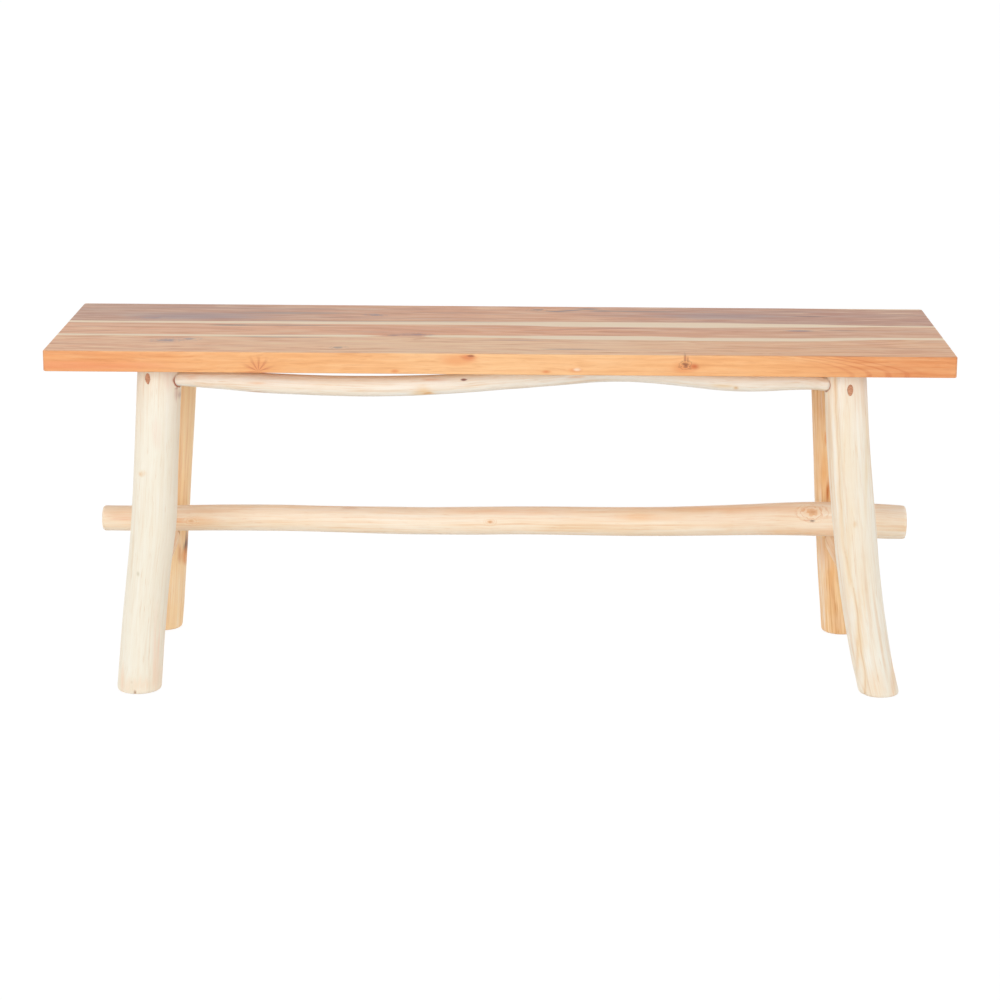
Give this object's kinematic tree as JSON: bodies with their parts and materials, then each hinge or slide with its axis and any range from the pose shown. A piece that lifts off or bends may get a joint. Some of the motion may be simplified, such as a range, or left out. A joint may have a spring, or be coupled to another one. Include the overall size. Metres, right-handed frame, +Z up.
{
  "type": "rustic log bench",
  "caption": "Rustic bench with a glued plank seat on splayed peeled-pole legs, joined by branch rails under the seat, round end rails and a long low stretcher.",
  "frame": {"origin": "on the floor under the middle of the seat, at the bottom centre of the bounding box", "axes": "+X along the seat, to the right seen from the front; +Y to the back; +Z up"},
  "size_m": [1.2, 0.3564, 0.472],
  "materials": {
    "seat_plank": "sanded softwood plank, satin clear coat, pinkish-tan heartwood with pale sapwood at the glue joints",
    "peeled_leg": "peeled and sanded pale sapwood, satin clear coat",
    "peeled_branch": "peeled and sanded branch, warm orange-tan, satin clear coat",
    "wood_plug": "brown hardwood plug sanded flush",
    "screw_steel": "zinc plated"
  },
  "bodies": {
    "root": {"seat_board_back": "seat_plank", "seat_board_middle": "seat_plank", "seat_board_front": "seat_plank", "leg_front_left": "peeled_leg", "leg_front_right": "peeled_leg", "leg_rear_left": "peeled_leg", "leg_rear_right": "peeled_leg", "seat_rail_front": "peeled_branch", "seat_rail_rear": "peeled_branch", "end_rail_left": "peeled_branch", "end_rail_right": "peeled_branch", "long_stretcher": "peeled_branch", "leg_plugs": "wood_plug", "leg_screws": "screw_steel", "stretcher_screws": "screw_steel"}
  },
  "joints": []
}
